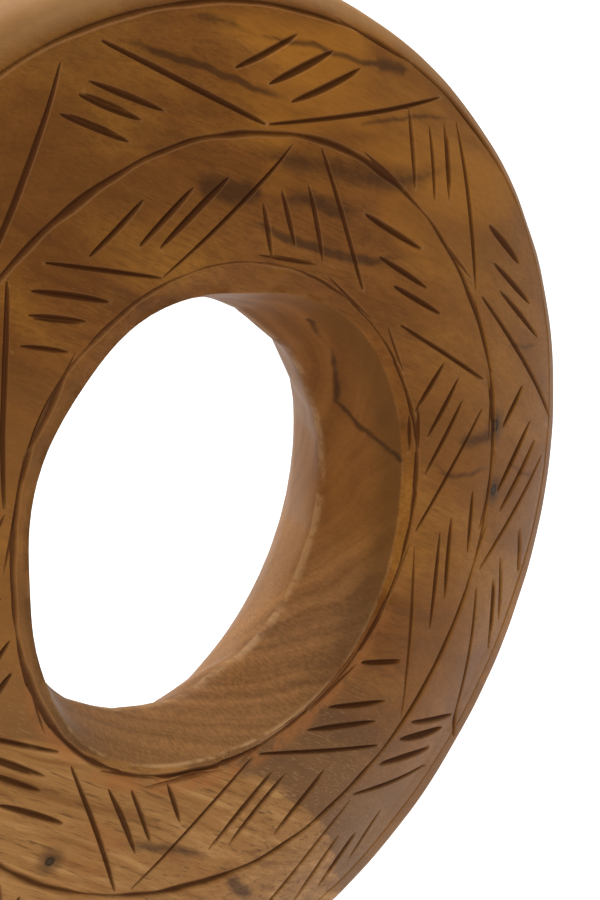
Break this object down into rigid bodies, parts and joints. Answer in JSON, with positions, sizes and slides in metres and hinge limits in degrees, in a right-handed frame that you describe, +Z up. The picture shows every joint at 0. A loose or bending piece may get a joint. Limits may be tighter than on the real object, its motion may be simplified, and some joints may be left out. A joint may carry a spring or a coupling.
{
  "type": "fertility doll",
  "caption": "Carved wooden fertility doll: a pierced, grooved ring for a head on a ringed neck, a short turned body with peg arms and a round base.",
  "frame": {"origin": "centre of the underside of the felt disc, on the surface the doll stands on", "axes": "+Z up along the body, -Y the way the doll faces and along the ring's hole, +X towards the doll's left arm"},
  "size_m": [0.186, 0.11, 0.363],
  "materials": {
    "ring_wood": "satin carved teak heartwood with a band of pale sapwood",
    "body_wood": "satin turned teak",
    "dowel_wood": "plain beech dowel",
    "screw_steel": "zinc plated steel",
    "felt": "dark brown wool felt"
  },
  "bodies": {
    "root": {"head_ring": "ring_wood", "head_dowel": "dowel_wood", "body": "body_wood", "left_arm": "body_wood", "right_arm": "body_wood", "base": "body_wood", "base_screw": "screw_steel", "felt_disc": "felt"}
  },
  "joints": []
}
